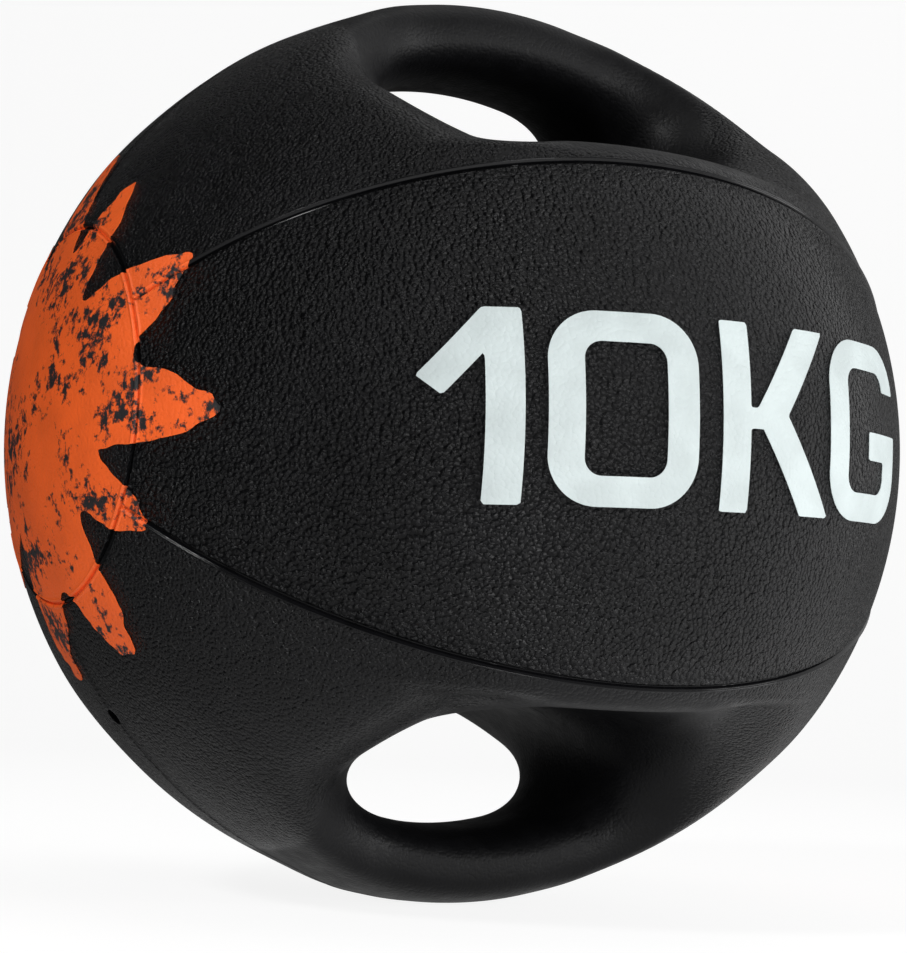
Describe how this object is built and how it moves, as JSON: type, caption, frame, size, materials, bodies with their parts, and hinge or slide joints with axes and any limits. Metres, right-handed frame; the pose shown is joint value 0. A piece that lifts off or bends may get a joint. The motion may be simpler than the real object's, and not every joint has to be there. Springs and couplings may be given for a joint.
{
  "type": "medicine ball",
  "caption": "Round rubber medicine ball with two hand openings, a thick grip bar over each, seamed panels, end caps and an inflation valve.",
  "frame": {"origin": "centre of the ball", "axes": "+X from the left end cap to the right one, +Z through the middle of the upper grip, -Y through the middle of the front panel with the weight mark"},
  "size_m": [0.2858, 0.2858, 0.287],
  "materials": {
    "belt_rubber": "strong pebble grain, low sheen",
    "grip_rubber": "fine grain, satin",
    "cap_rubber": "fine pebble grain, satin",
    "carcass_rubber": "matt, filled",
    "butyl": "smooth, matt",
    "valve_rubber": "smooth",
    "white_ink": "matt print over the grain",
    "orange_ink": "matt print over the grain, worn"
  },
  "bodies": {
    "root": {"front_panel": "belt_rubber", "rear_panel": "belt_rubber", "upper_grip_panel": "grip_rubber", "lower_grip_panel": "grip_rubber", "left_end_cap": "cap_rubber", "right_end_cap": "cap_rubber", "front_carcass": "carcass_rubber", "rear_carcass": "carcass_rubber", "bladder": "butyl", "valve_body": "valve_rubber", "valve_insert": "valve_rubber", "front_weight_mark": "white_ink", "rear_weight_mark": "white_ink", "left_cap_print": "orange_ink", "right_cap_print": "orange_ink"}
  },
  "joints": []
}
